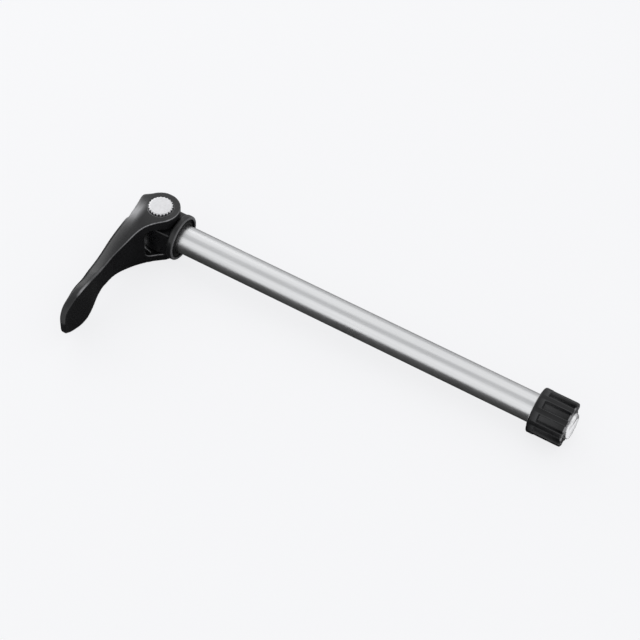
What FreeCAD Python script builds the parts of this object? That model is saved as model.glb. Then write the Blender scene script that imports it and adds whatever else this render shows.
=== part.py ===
import FreeCAD, Part
import math
import os
from FreeCAD import Vector

# Rear thru axle with an enclosed cam lever and a fluted nut.
# Frame: X runs along the shaft from the lever to the nut, Z along the cam pin, and the
# origin is on the shaft's axis in the plane of the collar's clamp face. Millimetres.

# Shaft: the size that the rest is built round
SHAFT_DIAMETER = 12.0
GRIP = 160.0
THREAD_PITCH = 1.5
THREAD_HALF_DEPTH = 0.325  # share of the pitch, from crest to mean radius
THREAD_RELIEF = 0.9
TAIL_LENGTH = 1.8
TAIL_CHAMFER = 0.9
SHAFT_EDGE = 0.3

# Clearances
RUNNING = 0.05
SNUG = 0.02
LOOSE = 0.3

# Tongue at the shaft's lever end, with the slot that the cam pulls on
TONGUE_HALF_THICKNESS = 2.9
EYE_WALL = 1.2
CAM_THROW = 0.9
CAM_SWING_ROOM = 0.26

# Collar and cam housing
COLLAR_THICKNESS = 2.7
COLLAR_RIM = 1.3
COLLAR_EDGE = 0.6
RECESS_GAP = 2.5
RECESS_DEPTH = 1.4
NECK_WALL = 3.2
NECK_END_WALL = 0.9
NECK_EDGE = 0.6
DUST_RING_SECTION = 1.2

# Bushes for the cam pin
BUSH_WALL = 1.0
BUSH_FLANGE = 1.0
BUSH_FLANGE_WIDTH = 1.75

# Cam pin and what keeps it in the lever's lower cheek
PIN_SEAT_STEP = 0.4
HEAD_LEDGE = 0.95
HEAD_SEAT_DEPTH = 2.7
HEAD_PROUD = 0.7
HEAD_TEETH = 22
TOOTH_DEPTH = 0.35
TOOTH_FLANK = 0.3  # share of a tooth's pitch
HEAD_CHAMFER = 0.35
PIN_END_INSET = 0.6
WASHER_WIDTH = 1.95
WASHER_THICKNESS = 0.6
CLIP_WIDTH = 1.85
CLIP_THICKNESS = 0.6
CLIP_GROOVE = 0.4
CLIP_MOUTH = 2.4
CLIP_WELL_DEPTH = 2.1

# Lever, measured from the pin's axis with the lever closed
LEVER_LENGTH = 65.0
LEVER_HEAD_WALL = 2.9
UPPER_CHEEK_THICKNESS = 5.3
LOWER_CHEEK_THICKNESS = 3.7
SHOULDER_WALL = 1.9
SHOULDER_ROUND = 2.4
SHOULDER_ANGLE = 135.0  # where the head's round turns into the shoulder's slope
HEAD_JOIN_ANGLE = -50.0  # where it turns into the arm's inner face
POCKET_DEPTH = 4.4
POCKET_ROUND = 3.0
CHEEK_LEVEL_REACH = 2.15
WEB_REACH = 9.0
TIP_THICKNESS = 2.0
TIP_SLOPE = 0.4
# Sections of the arm: share of the way from root to tip, how far the outer face bows
# out past the shoulder, thickness, half height, and how far the outer face is crowned
ARM_SECTIONS = (
    (0.000, 3.1, 12.2, 11.0, 3.8),
    (0.146, 3.0, 9.4, 8.2, 3.1),
    (0.263, 2.4, 7.4, 6.35, 2.7),
    (0.383, 1.8, 6.3, 5.6, 2.5),
    (0.497, 1.3, 5.8, 6.1, 2.6),
    (0.600, 0.4, 5.8, 8.2, 3.0),
    (0.713, 0.0, 6.1, 9.8, 3.4),
    (0.825, -1.2, 4.8, 9.05, 2.9),
    (0.919, -2.6, 3.2, 6.9, 1.9),
    (0.967, -3.8, 2.4, 4.6, 1.2),
)
TIP_BOW = -5.7
# Crown on the head before that: reach, bow and crown
HEAD_SECTIONS = (
    (-2.4, 3.4, 4.2),
    (4.8, 3.4, 5.2),
)
CROWN_STOCK = 0.8

# Nut and what it holds
NUT_WALL = 3.4
NUT_LENGTH = 14.4
NUT_EDGE = 0.9
NUT_BAND = 3.0
FLUTE_COUNT = 10
FLUTE_PHASE = 0.5  # share of a flute's pitch that the first is turned from Z
FLUTE_RADIUS = 2.0
FLUTE_DEPTH = 1.1
NUT_WASHER_WIDTH = 1.9
NUT_WASHER_LIP = 0.25
NUT_WASHER_THICKNESS = 1.5
NUT_WASHER_PROUD = 0.35
LOCK_RING_WIDTH = 1.3
LOCK_RING_LENGTH = 2.0
LOCK_RING_INSET = 1.0

# Sizes and places that follow
SHAFT_RADIUS = SHAFT_DIAMETER / 2
THREAD_RADIUS = SHAFT_RADIUS - THREAD_HALF_DEPTH * THREAD_PITCH
TONGUE_HALF_WIDTH = math.sqrt(SHAFT_RADIUS ** 2 - TONGUE_HALF_THICKNESS ** 2) - RUNNING
CAM_RADIUS = TONGUE_HALF_WIDTH - EYE_WALL - LOOSE - CAM_THROW
UPPER_JOURNAL_RADIUS = CAM_RADIUS + CAM_THROW + 2 * RUNNING
LOWER_JOURNAL_RADIUS = CAM_RADIUS - CAM_THROW - RUNNING
PIN_SEAT_RADIUS = UPPER_JOURNAL_RADIUS + PIN_SEAT_STEP
HEAD_RADIUS = PIN_SEAT_RADIUS + HEAD_LEDGE
LEVER_HEAD_RADIUS = HEAD_RADIUS + LEVER_HEAD_WALL
COLLAR_RADIUS = SHAFT_RADIUS + RECESS_GAP + COLLAR_RIM
PIN_X = -(COLLAR_THICKNESS + LOOSE + LEVER_HEAD_RADIUS)
EYE_X = PIN_X - CAM_THROW
TONGUE_ROOT_X = LOOSE - COLLAR_THICKNESS
CAVITY_HALF_HEIGHT = TONGUE_HALF_THICKNESS + LOOSE
CAM_HALF_HEIGHT = TONGUE_HALF_THICKNESS + LOOSE / 2
NECK_HALF_HEIGHT = CAVITY_HALF_HEIGHT + NECK_WALL
NECK_HALF_WIDTH = CAM_THROW + TONGUE_HALF_WIDTH + LOOSE + NECK_END_WALL
CHEEK_INNER_Z = NECK_HALF_HEIGHT + BUSH_FLANGE + 2 * RUNNING
LEVER_TOP_Z = CHEEK_INNER_Z + UPPER_CHEEK_THICKNESS
LEVER_LOW_Z = -CHEEK_INNER_Z - LOWER_CHEEK_THICKNESS
POCKET_RADIUS = NECK_HALF_WIDTH + LOOSE
SHOULDER_X = POCKET_RADIUS + SHOULDER_WALL
ROOT_REACH = POCKET_RADIUS + POCKET_DEPTH
HEAD_LOW_Z = LEVER_TOP_Z - HEAD_SEAT_DEPTH
HEAD_TOP_Z = LEVER_TOP_Z + HEAD_PROUD
CLIP_WELL_Z = LEVER_LOW_Z + CLIP_WELL_DEPTH
CLIP_TOP_Z = CLIP_WELL_Z - WASHER_THICKNESS - RUNNING
WASHER_RADIUS = LOWER_JOURNAL_RADIUS + WASHER_WIDTH
CLIP_RADIUS = LOWER_JOURNAL_RADIUS - CLIP_GROOVE + CLIP_WIDTH
NUT_RADIUS = SHAFT_RADIUS + NUT_WALL
NUT_X = GRIP + NUT_WASHER_PROUD
NUT_END_X = NUT_X + NUT_LENGTH
NUT_WASHER_RADIUS = SHAFT_RADIUS + NUT_WASHER_WIDTH
NUT_WASHER_END_X = GRIP + NUT_WASHER_THICKNESS
THREAD_START_X = NUT_WASHER_END_X + THREAD_RELIEF
LOCK_RING_RADIUS = THREAD_RADIUS + LOCK_RING_WIDTH
LOCK_RING_END_X = NUT_END_X - LOCK_RING_INSET
TAIL_X = NUT_END_X + TAIL_LENGTH


def bar_x(radius, start, end):
    """Round bar along the shaft's axis."""
    return Part.makeCylinder(radius, end - start, Vector(start, 0, 0), Vector(1, 0, 0))


def bar_z(radius, low, high, x=PIN_X):
    """Round bar along Z, on the pin's axis unless x says otherwise."""
    return Part.makeCylinder(radius, high - low, Vector(x, 0, low), Vector(0, 0, 1))


def turned_x(profile):
    """Solid of revolution about the shaft's axis from (x, radius) points."""
    outline = Part.makePolygon([Vector(x, radius, 0) for x, radius in profile + profile[:1]])
    return Part.Face(outline).revolve(Vector(0, 0, 0), Vector(1, 0, 0), 360)


def ring_z(inner, outer, low, high):
    """Flat ring on the pin's axis."""
    return bar_z(outer, low, high).cut(bar_z(inner, low, high))


def closed_face(edges):
    return Part.Face(Part.Wire(Part.__sortEdges__(edges)))


def slab(edges, low, high):
    """Closed plan outline raised from low to high along Z."""
    face = closed_face(edges)
    face.translate(Vector(0, 0, low))
    return face.extrude(Vector(0, 0, high - low))


def line(start, end):
    return Part.LineSegment(Vector(*start, 0), Vector(*end, 0)).toShape()


def arc(start, middle, end):
    return Part.Arc(Vector(*start, 0), Vector(*middle, 0), Vector(*end, 0)).toShape()


def polyline(points):
    """Straight edges round a closed plan outline."""
    return [line(a, b) for a, b in zip(points, points[1:] + points[:1])]


def tongue_slab(half_width, half_thickness, root_x):
    """Flat tongue with a round end about the eye."""
    edges = [
        line((root_x, half_width), (EYE_X, half_width)),
        arc((EYE_X, half_width), (EYE_X - half_width, 0), (EYE_X, -half_width)),
        line((EYE_X, -half_width), (root_x, -half_width)),
        line((root_x, -half_width), (root_x, half_width)),
    ]
    return slab(edges, -half_thickness, half_thickness)


def eye_slot():
    """Slot in the tongue: the cam crosses it freely and pulls on it along X."""
    half_x = CAM_RADIUS + CAM_SWING_ROOM
    end_y = CAM_THROW + CAM_RADIUS + LOOSE - half_x
    left = EYE_X - half_x
    right = EYE_X + half_x
    edges = [
        line((right, -end_y), (right, end_y)),
        arc((right, end_y), (EYE_X, end_y + half_x), (left, end_y)),
        line((left, end_y), (left, -end_y)),
        arc((left, -end_y), (EYE_X, -end_y - half_x), (right, -end_y)),
    ]
    return slab(edges, -SHAFT_RADIUS, SHAFT_RADIUS)


def axle_shaft():
    """Round shaft with a slotted tongue at the lever end and a chamfered tail."""
    bar = turned_x([
        (TONGUE_ROOT_X, 0),
        (TONGUE_ROOT_X, SHAFT_RADIUS - SHAFT_EDGE),
        (TONGUE_ROOT_X + SHAFT_EDGE, SHAFT_RADIUS),
        (THREAD_START_X - SHAFT_EDGE, SHAFT_RADIUS),
        (THREAD_START_X, SHAFT_RADIUS - SHAFT_EDGE),
        (THREAD_START_X, THREAD_RADIUS),
        (TAIL_X - TAIL_CHAMFER, THREAD_RADIUS),
        (TAIL_X, THREAD_RADIUS - TAIL_CHAMFER),
        (TAIL_X, 0),
    ])
    tongue = tongue_slab(TONGUE_HALF_WIDTH, TONGUE_HALF_THICKNESS, TONGUE_ROOT_X + SHAFT_EDGE)
    return bar.fuse(tongue).cut(eye_slot()).removeSplitter()


def cam_housing():
    """Collar with a shallow recess, and a neck that encloses the tongue and the cam."""
    collar = bar_x(COLLAR_RADIUS, -COLLAR_THICKNESS, 0)
    collar = collar.makeFillet(COLLAR_EDGE, [e for e in collar.Edges if e.Closed])
    front = -COLLAR_THICKNESS / 2
    width = NECK_HALF_WIDTH
    edges = [
        line((front, width), (PIN_X, width)),
        arc((PIN_X, width), (PIN_X - width, 0), (PIN_X, -width)),
        line((PIN_X, -width), (front, -width)),
        line((front, -width), (front, width)),
    ]
    neck = slab(edges, -NECK_HALF_HEIGHT, NECK_HALF_HEIGHT)
    rims = [e for e in neck.Edges if abs(abs(e.CenterOfMass.z) - NECK_HALF_HEIGHT) < SNUG]
    neck = neck.makeFillet(NECK_EDGE, rims)
    bore_end = -COLLAR_THICKNESS
    cuts = [
        bar_x(COLLAR_RADIUS - COLLAR_RIM, -RECESS_DEPTH, COLLAR_EDGE),
        bar_x(SHAFT_RADIUS + RUNNING, bore_end, 0),
        tongue_slab(TONGUE_HALF_WIDTH + LOOSE, CAVITY_HALF_HEIGHT, bore_end + LOOSE),
        bar_z(UPPER_JOURNAL_RADIUS + RUNNING + BUSH_WALL + SNUG, 0, NECK_HALF_HEIGHT + LOOSE),
        bar_z(LOWER_JOURNAL_RADIUS + RUNNING + BUSH_WALL + SNUG, -NECK_HALF_HEIGHT - LOOSE, 0),
    ]
    return collar.fuse(neck).cut(cuts).removeSplitter()


def cam_bush(journal_radius, side):
    """Flanged bush in the neck's wall; side is 1 above the shaft and -1 below it."""
    bore = journal_radius + RUNNING
    outer = bore + BUSH_WALL
    sleeve = ring_z(bore, outer, CAVITY_HALF_HEIGHT, NECK_HALF_HEIGHT)
    flange = ring_z(bore, outer + BUSH_FLANGE_WIDTH, NECK_HALF_HEIGHT, NECK_HALF_HEIGHT + BUSH_FLANGE)
    bush = sleeve.fuse(flange).removeSplitter()
    if side < 0:
        bush.rotate(Vector(PIN_X, 0, 0), Vector(1, 0, 0), 180)
    return bush


def upper_cam_bush():
    return cam_bush(UPPER_JOURNAL_RADIUS, 1)


def lower_cam_bush():
    return cam_bush(LOWER_JOURNAL_RADIUS, -1)


def serrated_head():
    """Pin head with teeth round its edge and a chamfered rim."""
    root = HEAD_RADIUS - TOOTH_DEPTH
    step = 2 * math.pi / HEAD_TEETH
    corners = []
    for tooth in range(HEAD_TEETH):
        for share, radius in ((0, root), (TOOTH_FLANK, HEAD_RADIUS), (1 - TOOTH_FLANK, HEAD_RADIUS)):
            angle = (tooth + share) * step
            corners.append((PIN_X + radius * math.cos(angle), radius * math.sin(angle)))
    blank = bar_z(HEAD_RADIUS, HEAD_LOW_Z, HEAD_TOP_Z)
    top_rim = [e for e in blank.Edges if e.Closed and e.CenterOfMass.z > HEAD_TOP_Z - SNUG]
    blank = blank.makeChamfer(HEAD_CHAMFER, top_rim)
    return slab(polyline(corners), HEAD_LOW_Z, HEAD_TOP_Z).common(blank)


def cam_pin():
    """Pin turned in one piece: serrated head, seat, upper journal, cam, lower journal."""
    end_z = LEVER_LOW_Z + PIN_END_INSET
    seat = bar_z(PIN_SEAT_RADIUS - SNUG, CHEEK_INNER_Z, HEAD_LOW_Z)
    upper = bar_z(UPPER_JOURNAL_RADIUS, CAM_HALF_HEIGHT, CHEEK_INNER_Z)
    cam = bar_z(CAM_RADIUS, -CAM_HALF_HEIGHT, CAM_HALF_HEIGHT, EYE_X)
    lower = bar_z(LOWER_JOURNAL_RADIUS, end_z, -CAM_HALF_HEIGHT)
    groove = ring_z(LOWER_JOURNAL_RADIUS - CLIP_GROOVE, CLIP_RADIUS,
                    CLIP_TOP_Z - CLIP_THICKNESS - RUNNING, CLIP_TOP_Z + RUNNING)
    return serrated_head().fuse([seat, upper, cam, lower]).cut(groove).removeSplitter()


def pin_washer():
    return ring_z(LOWER_JOURNAL_RADIUS + RUNNING, WASHER_RADIUS,
                  CLIP_WELL_Z - WASHER_THICKNESS, CLIP_WELL_Z)


def pin_clip():
    """Open clip that snaps into the groove at the pin's lower end."""
    low = CLIP_TOP_Z - CLIP_THICKNESS
    clip = ring_z(LOWER_JOURNAL_RADIUS - CLIP_GROOVE + SNUG, CLIP_RADIUS, low, CLIP_TOP_Z)
    mouth = Part.makeBox(CLIP_RADIUS + LOOSE, CLIP_MOUTH, CLIP_THICKNESS,
                         Vector(PIN_X, -CLIP_MOUTH / 2, low))
    return clip.cut(mouth)


def dust_ring():
    """Round-section ring that lies in the collar's recess and wipes the shaft."""
    section = DUST_RING_SECTION / 2
    place = Vector(section + SNUG - RECESS_DEPTH, 0, 0)
    return Part.makeTorus(SHAFT_RADIUS + RUNNING + section, section, place, Vector(1, 0, 0))


def arm_reach(share):
    """Distance from the pin's axis along the closed lever, from root (0) to tip (1)."""
    return ROOT_REACH + share * (LEVER_LENGTH - ROOT_REACH)


def curve(points, first_tangent, last_tangent):
    """Smooth plan curve through a few points, with its directions at both ends."""
    places = [Vector(x, y, 0) for x, y in points]
    lengths = [0.0]
    for a, b in zip(places, places[1:]):
        lengths.append(lengths[-1] + a.distanceToPoint(b))
    spline = Part.BSplineCurve()
    spline.interpolate(Points=places, Parameters=lengths, Scale=False,
                       InitialTangent=Vector(*first_tangent, 0).normalize(),
                       FinalTangent=Vector(*last_tangent, 0).normalize())
    return spline.toShape()


def lever_plan():
    """Outline of the lever seen along the pin: round head, bowed arm, thin tip."""
    radius = LEVER_HEAD_RADIUS
    join = math.radians(HEAD_JOIN_ANGLE)
    rise = math.radians(SHOULDER_ANGLE)
    crest = (join + rise) / 2
    start = (radius * math.cos(join), radius * math.sin(join))
    over = (radius * math.cos(crest), radius * math.sin(crest))
    top = (radius * math.cos(rise), radius * math.sin(rise))
    corner = (-SHOULDER_X, top[1] + (SHOULDER_X + top[0]) / math.tan(rise))
    back = SHOULDER_ROUND * math.tan((math.pi - rise) / 2)
    slope_end = (corner[0] + back * math.sin(rise), corner[1] - back * math.cos(rise))
    side_start = (corner[0], corner[1] - back)
    middle_angle = (math.pi + rise) / 2
    centre = (corner[0] + SHOULDER_ROUND, side_start[1])
    middle = (centre[0] + SHOULDER_ROUND * math.cos(middle_angle),
              centre[1] + SHOULDER_ROUND * math.sin(middle_angle))
    outer = [(-SHOULDER_X - section[1], -arm_reach(section[0])) for section in ARM_SECTIONS]
    inner = [(x + section[2], y) for (x, y), section in zip(outer, ARM_SECTIONS)]
    stock = [(x - CROWN_STOCK, y) for x, y in outer]
    tip_x = -SHOULDER_X - TIP_BOW
    tip_y = -LEVER_LENGTH + TIP_THICKNESS / 2
    tip_out = (tip_x - TIP_THICKNESS / 2, tip_y)
    tip_in = (tip_x + TIP_THICKNESS / 2, tip_y)
    edges = [
        arc(start, over, top),
        line(top, slope_end),
        arc(slope_end, middle, side_start),
        curve([side_start] + stock + [tip_out], (0, -1), (TIP_SLOPE, -1)),
        arc(tip_out, (tip_x, -LEVER_LENGTH), tip_in),
        curve([tip_in] + inner[::-1] + [start], (-TIP_SLOPE, 1), (-math.sin(join), math.cos(join))),
    ]
    return edges


def lever_side():
    """Outline of the lever seen along the shaft, as plan edges of (height, reach)."""
    top = LEVER_HEAD_RADIUS + LOOSE
    edges = [line((LEVER_LOW_Z, top), (LEVER_TOP_Z, top))]
    for level, side in ((LEVER_TOP_Z, 1), (LEVER_LOW_Z, -1)):
        level_end = (level, -CHEEK_LEVEL_REACH)
        heights = [(side * section[3], -arm_reach(section[0])) for section in ARM_SECTIONS]
        points = [level_end] + heights + [(0, -LEVER_LENGTH)]
        edges += [line((level, top), level_end), curve(points, (0, -1), (-side, 0))]
    return edges


def crown_section(reach, outer_x, half, crown):
    """Cross-section of the stock that is taken off the arm's outer face."""
    edge_x = outer_x + crown
    stock_x = outer_x - SHOULDER_X
    places = ((edge_x, half), (stock_x, half), (stock_x, -half), (edge_x, -half))
    corners = [Vector(x, -reach, z) for x, z in places]
    sides = [Part.LineSegment(a, b).toShape() for a, b in zip(corners, corners[1:])]
    bow = Part.Arc(corners[3], Vector(outer_x, -reach, 0), corners[0]).toShape()
    return Part.Wire(sides + [bow])


def crown_stock():
    """Stock outside the lever's crowned outer face, from the shoulder to past the tip."""
    widest = max(section[3] for section in ARM_SECTIONS[-4:]) + LOOSE
    wires = []
    for reach, bow, crown in HEAD_SECTIONS:
        wires.append(crown_section(reach, -SHOULDER_X - bow, LEVER_TOP_Z + LOOSE, crown))
    for share, bow, _, half, crown in ARM_SECTIONS:
        tall = widest if share > ARM_SECTIONS[-4][0] else half + LOOSE
        wires.append(crown_section(arm_reach(share), -SHOULDER_X - bow, tall, crown))
    tip_x = -SHOULDER_X - TIP_BOW - TIP_THICKNESS / 2
    wires.append(crown_section(LEVER_LENGTH + LOOSE, tip_x, widest, LOOSE))
    return Part.makeLoft(wires, True, False)


def lever_blank():
    """Forging before its pocket and holes, about the pin's axis."""
    plan = slab(lever_plan(), LEVER_LOW_Z - LOOSE, LEVER_TOP_Z + LOOSE)
    reach_x = SHOULDER_X + LEVER_HEAD_RADIUS
    side = slab(lever_side(), -reach_x, reach_x)
    side.rotate(Vector(0, 0, 0), Vector(0, 1, 0), -90)
    return plan.common(side).cut(crown_stock())


def lever_pocket():
    """Slot between the cheeks: room for the neck, opening inboard with rounded ends."""
    far = SHOULDER_X + LEVER_HEAD_RADIUS
    wall = (-POCKET_DEPTH, -POCKET_RADIUS)
    plan = [(-far, far), (far, far), (far, -ROOT_REACH), (0, -ROOT_REACH), wall, (-far, wall[1])]
    slot = slab(polyline(plan), -CHEEK_INNER_Z, CHEEK_INNER_Z)
    middle = Vector(wall[0] / 2, (wall[1] - ROOT_REACH) / 2, 0)
    rims = [e for e in slot.Edges if abs(abs(e.CenterOfMass.z) - CHEEK_INNER_Z) < SNUG]
    ends = [e for e in rims if math.dist(e.CenterOfMass[:2], middle[:2]) < SNUG]
    slot = slot.makeFillet(POCKET_ROUND, ends)
    return slot.fuse(bar_z(POCKET_RADIUS, -CHEEK_INNER_Z, CHEEK_INNER_Z, 0))


def collar_relief():
    """Room behind the shoulder for the collar to pass when the lever is thrown open."""
    height = COLLAR_RADIUS + LOOSE
    far = SHOULDER_X + LEVER_HEAD_RADIUS
    block = Part.makeBox(far, far + WEB_REACH, 2 * height, Vector(-far, -WEB_REACH, -height))
    return block.cut(bar_z(LEVER_HEAD_RADIUS + SNUG, -height, height, 0))


def cam_lever():
    """Forged lever with a forked head, pocketed for the neck and bored for the pin."""
    well = WASHER_RADIUS + LOOSE
    cuts = [
        lever_pocket(),
        collar_relief(),
        bar_z(HEAD_RADIUS + SNUG, HEAD_LOW_Z, HEAD_TOP_Z, 0),
        bar_z(PIN_SEAT_RADIUS, 0, HEAD_TOP_Z, 0),
        bar_z(LOWER_JOURNAL_RADIUS + SNUG, LEVER_LOW_Z, 0, 0),
        bar_z(well, LEVER_LOW_Z - LOOSE, CLIP_WELL_Z, 0),
    ]
    lever = lever_blank().cut(cuts).removeSplitter()
    lever.translate(Vector(PIN_X, 0, 0))
    return lever


def flute():
    """One flute's cutter, above the nut's axis, from the band to past the outer end."""
    centre = NUT_RADIUS - FLUTE_DEPTH + FLUTE_RADIUS
    start = NUT_X + NUT_BAND
    cutter = bar_x(FLUTE_RADIUS, start, NUT_END_X + LOOSE)
    inner_rim = [e for e in cutter.Edges if e.Closed and e.CenterOfMass.x < start + SNUG]
    cutter = cutter.makeFillet(FLUTE_DEPTH / 2, inner_rim)
    cutter.translate(Vector(0, 0, centre))
    return cutter


def axle_nut():
    """Fluted nut, recessed for its washer, with a groove for the lock ring."""
    nut = bar_x(NUT_RADIUS, NUT_X, NUT_END_X)
    nut = nut.makeFillet(NUT_EDGE, [e for e in nut.Edges if e.Closed])
    cutters = []
    for index in range(FLUTE_COUNT):
        cutter = flute()
        cutter.rotate(Vector(0, 0, 0), Vector(1, 0, 0), 360 * (index + FLUTE_PHASE) / FLUTE_COUNT)
        cutters.append(cutter)
    lip_x = NUT_X + NUT_WASHER_LIP
    lip_radius = NUT_WASHER_RADIUS + RUNNING - NUT_WASHER_LIP
    hollow = turned_x([
        (NUT_X - LOOSE, 0),
        (NUT_X - LOOSE, lip_radius),
        (lip_x, lip_radius),
        (lip_x, NUT_WASHER_RADIUS + RUNNING),
        (NUT_WASHER_END_X + RUNNING, NUT_WASHER_RADIUS + RUNNING),
        (NUT_WASHER_END_X + RUNNING, SHAFT_RADIUS + LOOSE),
        (THREAD_START_X + LOOSE, SHAFT_RADIUS + LOOSE),
        (THREAD_START_X + LOOSE, THREAD_RADIUS + RUNNING),
        (LOCK_RING_END_X - LOCK_RING_LENGTH, THREAD_RADIUS + RUNNING),
        (LOCK_RING_END_X - LOCK_RING_LENGTH, LOCK_RING_RADIUS),
        (LOCK_RING_END_X, LOCK_RING_RADIUS),
        (LOCK_RING_END_X, THREAD_RADIUS + LOOSE),
        (NUT_END_X + LOOSE, THREAD_RADIUS + LOOSE),
        (NUT_END_X + LOOSE, 0),
    ])
    return nut.cut(cutters + [hollow]).removeSplitter()


def nut_washer():
    """Captive washer whose face clamps the frame while the nut turns behind it."""
    inner = SHAFT_RADIUS + RUNNING
    step_x = NUT_X + NUT_WASHER_LIP + RUNNING
    face_radius = NUT_WASHER_RADIUS - NUT_WASHER_LIP - RUNNING
    return turned_x([
        (GRIP, inner),
        (GRIP, face_radius),
        (step_x, face_radius),
        (step_x, NUT_WASHER_RADIUS),
        (NUT_WASHER_END_X, NUT_WASHER_RADIUS),
        (NUT_WASHER_END_X, inner),
    ])


def nut_lock_ring():
    """Nylon ring that grips the thread."""
    start = LOCK_RING_END_X - LOCK_RING_LENGTH + SNUG
    inner = THREAD_RADIUS + SNUG
    outer = LOCK_RING_RADIUS - SNUG
    end = LOCK_RING_END_X - SNUG
    return turned_x([(start, inner), (start, outer), (end, outer), (end, inner)])


PIECES = (
    axle_shaft,
    cam_housing,
    upper_cam_bush,
    lower_cam_bush,
    dust_ring,
    cam_lever,
    cam_pin,
    pin_washer,
    pin_clip,
    axle_nut,
    nut_washer,
    nut_lock_ring,
)


def main():
    os.makedirs("parts", exist_ok=True)
    for piece in PIECES:
        shape = piece()
        solid = shape.Solids[0]
        if len(shape.Solids) != 1 or not solid.isValid():
            raise ValueError(piece.__name__ + " isn't one sound solid")
        solid.exportStep("parts/" + piece.__name__ + ".step")
        print(piece.__name__, round(solid.Volume, 2))


main()
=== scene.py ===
import math

import bmesh
import bpy
import numpy as np
from mathutils import Matrix, Vector


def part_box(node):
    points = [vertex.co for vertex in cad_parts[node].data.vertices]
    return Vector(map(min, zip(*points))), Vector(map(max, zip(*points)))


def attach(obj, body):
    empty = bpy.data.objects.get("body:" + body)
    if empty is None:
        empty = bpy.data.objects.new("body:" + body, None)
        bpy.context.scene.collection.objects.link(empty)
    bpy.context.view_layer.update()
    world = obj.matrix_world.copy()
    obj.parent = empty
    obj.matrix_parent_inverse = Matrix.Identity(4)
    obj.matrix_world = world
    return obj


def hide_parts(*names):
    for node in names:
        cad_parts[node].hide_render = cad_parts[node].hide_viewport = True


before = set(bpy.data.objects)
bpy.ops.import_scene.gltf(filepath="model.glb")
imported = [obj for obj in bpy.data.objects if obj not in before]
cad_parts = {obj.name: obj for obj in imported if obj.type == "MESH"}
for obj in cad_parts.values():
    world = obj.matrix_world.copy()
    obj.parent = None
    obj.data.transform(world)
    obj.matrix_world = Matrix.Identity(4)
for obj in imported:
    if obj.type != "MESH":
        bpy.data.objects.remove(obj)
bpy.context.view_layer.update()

bl_info = {
    "name": "Thru axle",
    "version": (1, 0, 0),
    "blender": (4, 5, 0),
    "location": "3D View > Sidebar > Thru axle",
    "description": "Dresses a packed rear thru axle: shaft, cam lever, housing and nut",
    "category": "Object",
}

MM = 0.001
SHAFT_LOW, SHAFT_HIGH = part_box("axle_shaft")
PIN_LOW, PIN_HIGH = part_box("cam_pin")
LEVER_LOW, LEVER_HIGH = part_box("cam_lever")
NUT_LOW, NUT_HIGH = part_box("axle_nut")
PIN_X = (PIN_LOW.x + PIN_HIGH.x) / 2

# stretches along the lever, from the pin towards its tip, over which a change of its shape comes in
HEAD_LEAN = 2 * MM, 7 * MM
ARM_LEAN = 7 * MM, 13 * MM
PADDLE_LEAN = 54 * MM, 46 * MM
ARM_SOFT = 8 * MM, 12 * MM
INBOARD_SWELL = 28 * MM, 38 * MM
UNDER_SWELL = 16 * MM, 22 * MM
CHEEK_START = -5 * MM, -3 * MM
CHEEK_END = 13 * MM, 10 * MM
# stretches outboard of the pin, and one above it
CHEEK_SIDE = 4.5 * MM, 6.5 * MM
HEEL_SIDE = 6 * MM, 8 * MM
HEEL_RISE = 9.8 * MM, 12.4 * MM
# the last is the outboard stretch of the painted highlight on the head's shoulder
HIGHLIGHT_SIDE = 3.4 * MM, 6.4 * MM
# the lever's heel: how far behind the pin it lies, and how far it spreads to the rear and to the front
HEEL_BEHIND = 1.4 * MM
HEEL_REAR = 2.2 * MM
HEEL_FRONT = 3.6 * MM
# the painted highlight on the outboard shoulder beside the head: its distance from the pin, and its
# spread
HIGHLIGHT_REACH = 6.5 * MM
HIGHLIGHT_SPREAD = 4 * MM
# how pale the lever's upper edge is made, against the distance from the pin in millimetres: partly wear,
# partly a painted highlight along the ridge where the light would catch it
LEVER_EDGE_WEAR_AND_HIGHLIGHT = {
    -9: 0.12, -4: 0.2, 2: 0.8, 13: 1.0, 20: 0.62, 27: 0.3, 44: 0.2, 48: 0.6, 52: 0.9, 55: 0.02}
# the band by the collar's clamp face that is made pale, a painted highlight along the rim's edge
HOUSING_RIM = -0.35 * MM, -0.1 * MM

# softening: the share of the way to its neighbours' mean that a point goes in one pass
HALF_WAY = 0.5
# passes that even out the facing, and the edge wear with its painted highlight
FACING_PASSES = 40
WEAR_AND_HIGHLIGHT_PASSES = 2
# how far a surface faces outboard or up, from where softening, or the lever's wear and painted highlight,
# begins to where it is full; the pale edges are kept to faces that look up, towards the light, as a
# painted highlight
FACING_OUT = 0.12, 0.37
FACING_UP = 0.0, 0.4
# how far a point stands out from its neighbours, in spacings, from where the edge wear and painted
# highlight begin to where they are full
EDGE_BULGE = 0.045, 0.095

# plan of the card that shades the axle's lower side, in metres: it leaves the floor by the tail clear
CARD_OUTLINE = (
    (-0.16, -0.115), (0.178, -0.115), (0.178, 0.0118), (0.4, 0.0118), (0.4, 0.3), (-0.16, 0.3))
CARD_FRONT, CARD_BEHIND = (0.08, 0.08, 0.08), (0.37, 0.37, 0.37)
CARD_FADE = 4 * MM, 22 * MM
FLOOR_OUTLINE = (-3.0, -3.0), (3.0, -3.0), (3.0, 3.0), (-3.0, 3.0)

# lamps: direction from the axle's middle, width and height in metres, and the setting for the brightness
LAMPS = {
    "softbox_front": ((0.0, -0.87, 0.492), (1.4, 0.814), "front_radiance"),
    "softbox_back": ((0.0, 0.559, 0.829), (1.4, 0.866), "back_radiance"),
    "strip_edge": ((0.88, 0.36, 0.31), (0.7, 0.2), "edge_radiance"),
    "lamp_ridge": ((0.78, -0.17, 0.6), (0.2, 0.4), "edge_radiance"),
    "softbox_crown": ((-0.82, 0.3, 0.38), (0.9, 0.48), "crown_radiance"),
}
LAMP_AIM = Vector((68.5 * MM, 0.0, 0.0))
LAMP_DISTANCE = 0.75

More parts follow.
